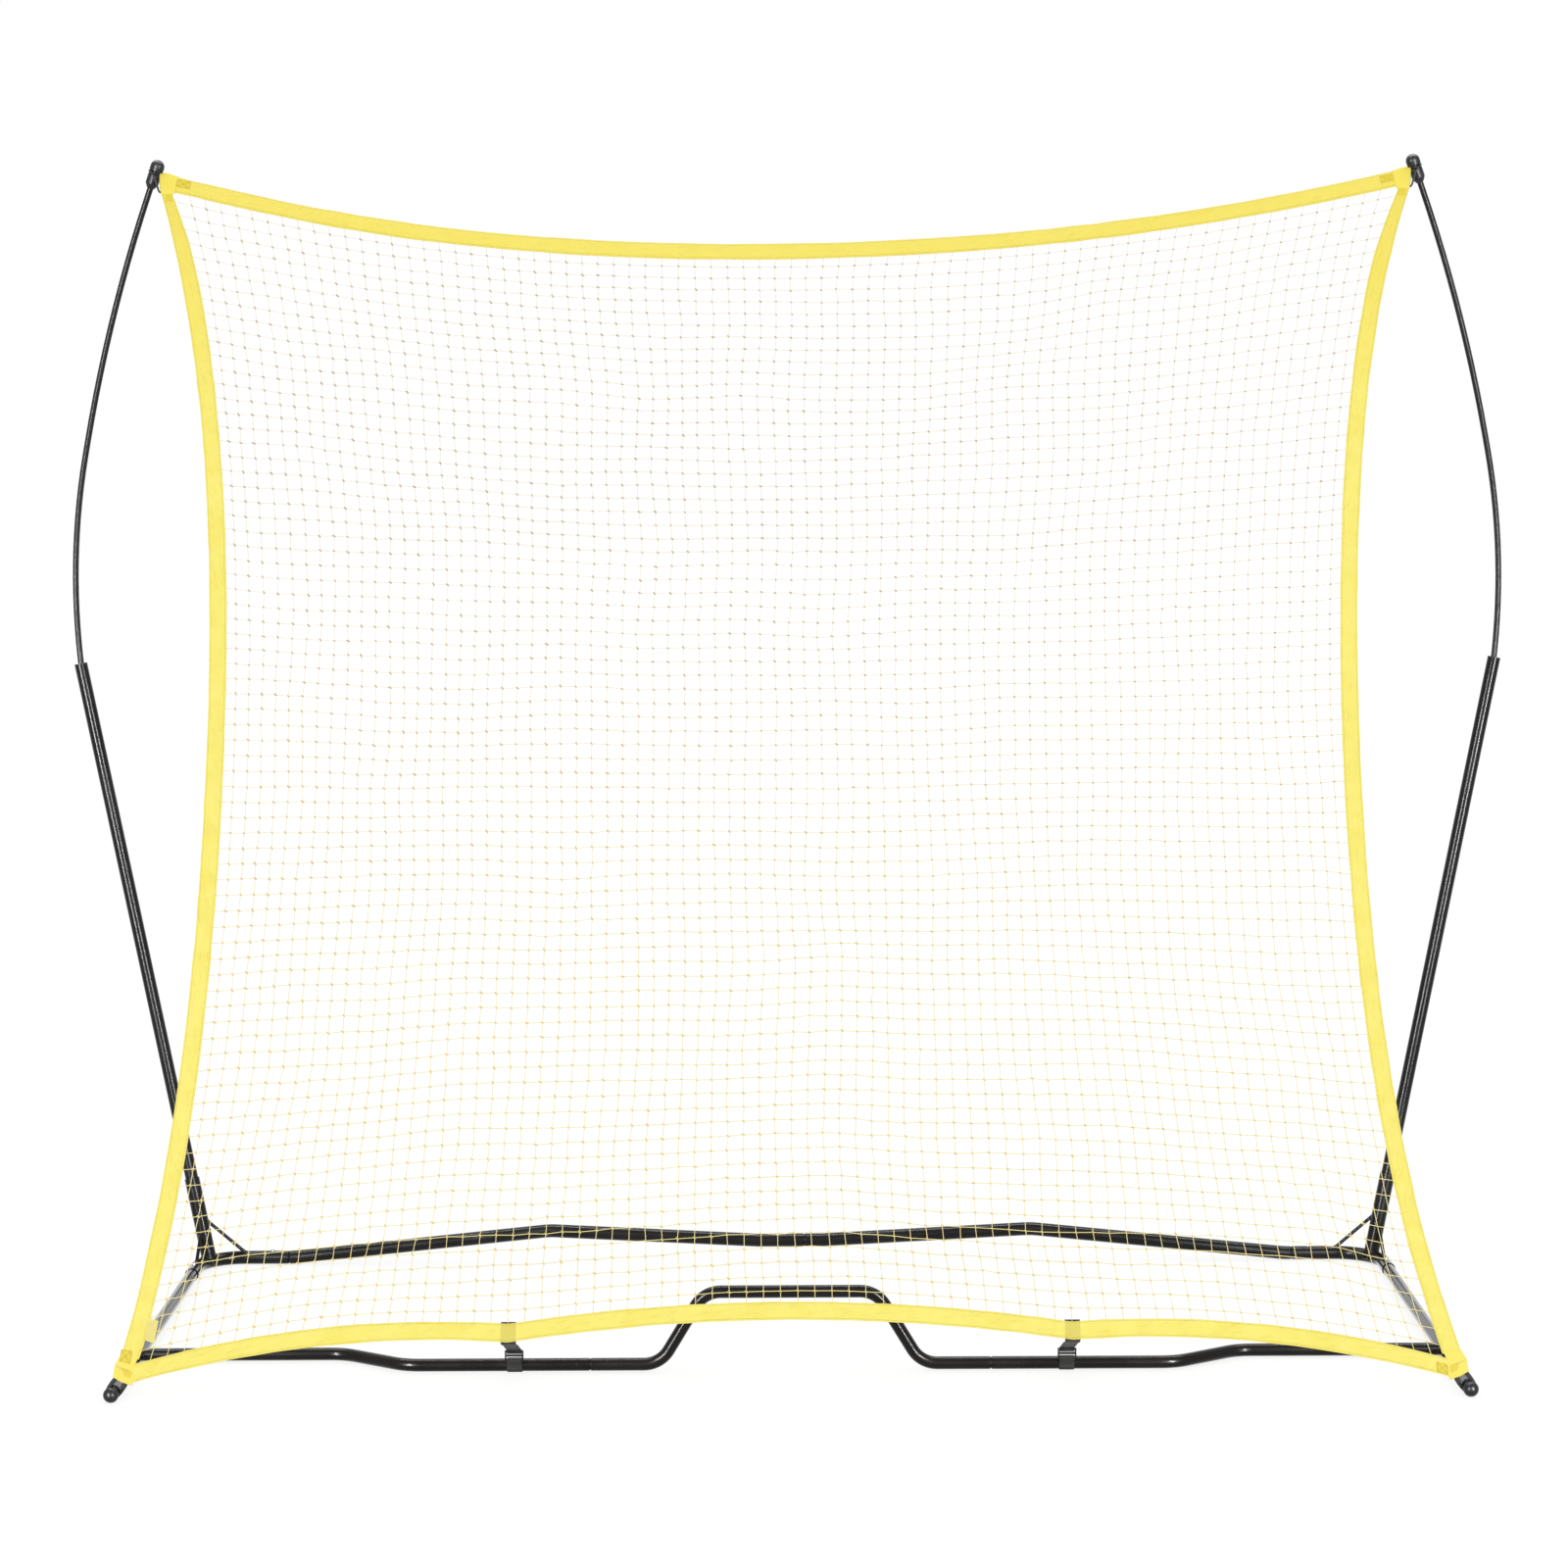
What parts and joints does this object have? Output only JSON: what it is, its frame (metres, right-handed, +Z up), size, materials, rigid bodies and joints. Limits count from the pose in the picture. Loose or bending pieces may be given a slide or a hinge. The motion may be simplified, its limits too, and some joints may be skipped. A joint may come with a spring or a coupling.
{
  "type": "pitch back rebounder",
  "caption": "Free-standing ball rebounder: a leaning square-mesh net with a webbing edge, pulled tight by bowed rods over a low steel tube ground frame with snap-button joints.",
  "frame": {"origin": "on the ground, in the middle of the whole object's box", "axes": "+X to the player's right along the front bar, +Y away from the player, +Z up"},
  "size_m": [2.6406, 0.9916, 2.0402],
  "materials": {
    "frame_steel": "gloss black powder coat",
    "black_plastic": "satin",
    "buckle_plastic": "satin",
    "rod_fibreglass": "gloss",
    "button_steel": "plated",
    "spring_steel": "plain",
    "net_twine": "knotted twine",
    "edge_webbing": "woven",
    "loop_cord": "braided",
    "black_webbing": "woven",
    "label_cloth": "woven"
  },
  "bodies": {
    "frame": {"rear_corner_left": "frame_steel", "rear_corner_right": "frame_steel", "rear_bar_left": "frame_steel", "rear_bar_right": "frame_steel", "side_tube_left": "frame_steel", "side_tube_right": "frame_steel", "front_bar_left": "frame_steel", "front_bar_centre": "frame_steel", "front_bar_right": "frame_steel", "upright_socket_left": "frame_steel", "upright_socket_right": "frame_steel", "brace_inner_left": "frame_steel", "brace_inner_right": "frame_steel", "brace_outer_left": "frame_steel", "brace_outer_right": "frame_steel", "upright_tube_left": "frame_steel", "upright_tube_right": "frame_steel", "post_knob_left": "black_plastic", "post_knob_right": "black_plastic", "rod_bush_left": "black_plastic", "rod_bush_right": "black_plastic", "rod_seat_left": "black_plastic", "rod_seat_right": "black_plastic", "tip_cap_left": "black_plastic", "tip_cap_right": "black_plastic", "rod_left": "rod_fibreglass", "rod_right": "rod_fibreglass", "snap_button_springs": "spring_steel", "net_mesh": "net_twine", "band_top": "edge_webbing", "band_bottom": "edge_webbing", "band_left": "edge_webbing", "band_right": "edge_webbing", "corner_patch_low_left": "edge_webbing", "corner_patch_low_right": "edge_webbing", "corner_patch_high_left": "edge_webbing", "corner_patch_high_right": "edge_webbing", "corner_loop_high_left": "loop_cord", "corner_loop_high_right": "loop_cord", "corner_loop_low_left": "black_webbing", "corner_loop_low_right": "black_webbing", "net_strap_left": "black_webbing", "net_strap_right": "black_webbing", "bar_loop_left": "black_webbing", "bar_loop_right": "black_webbing", "band_label": "label_cloth"},
    "snap_button_rear_left": {"snap_button_rear_left": "button_steel"},
    "snap_button_rear_centre": {"snap_button_rear_centre": "button_steel"},
    "snap_button_rear_right": {"snap_button_rear_right": "button_steel"},
    "snap_button_side_left": {"snap_button_side_left": "button_steel"},
    "snap_button_side_right": {"snap_button_side_right": "button_steel"},
    "strap_buckle_left": {"strap_buckle_left": "buckle_plastic"},
    "strap_buckle_right": {"strap_buckle_right": "buckle_plastic"}
  },
  "joints": [
    {"name": "snap_button_rear_left_press", "type": "slide", "parent": "frame", "child": "snap_button_rear_left", "axis": [0, 0, -1], "range_m": [0, 0.0041], "stiffness_N_per_m": 2500, "springref_m": -0.003},
    {"name": "snap_button_rear_centre_press", "type": "slide", "parent": "frame", "child": "snap_button_rear_centre", "axis": [0, 0, -1], "range_m": [0, 0.0041], "stiffness_N_per_m": 2500, "springref_m": -0.003},
    {"name": "snap_button_rear_right_press", "type": "slide", "parent": "frame", "child": "snap_button_rear_right", "axis": [0, 0, -1], "range_m": [0, 0.0041], "stiffness_N_per_m": 2500, "springref_m": -0.003},
    {"name": "snap_button_side_left_press", "type": "slide", "parent": "frame", "child": "snap_button_side_left", "axis": [0, 0, -1], "range_m": [0, 0.0041], "stiffness_N_per_m": 2500, "springref_m": -0.003},
    {"name": "snap_button_side_right_press", "type": "slide", "parent": "frame", "child": "snap_button_side_right", "axis": [0, 0, -1], "range_m": [0, 0.0041], "stiffness_N_per_m": 2500, "springref_m": -0.003},
    {"name": "strap_buckle_left_tilt", "type": "hinge", "parent": "frame", "child": "strap_buckle_left", "pos_m": [-0.459, -0.32511, 0.02407], "axis": [1, 0, 0], "range_deg": [0, 35]},
    {"name": "strap_buckle_right_tilt", "type": "hinge", "parent": "frame", "child": "strap_buckle_right", "pos_m": [0.459, -0.32511, 0.02407], "axis": [1, 0, 0], "range_deg": [0, 35]}
  ]
}
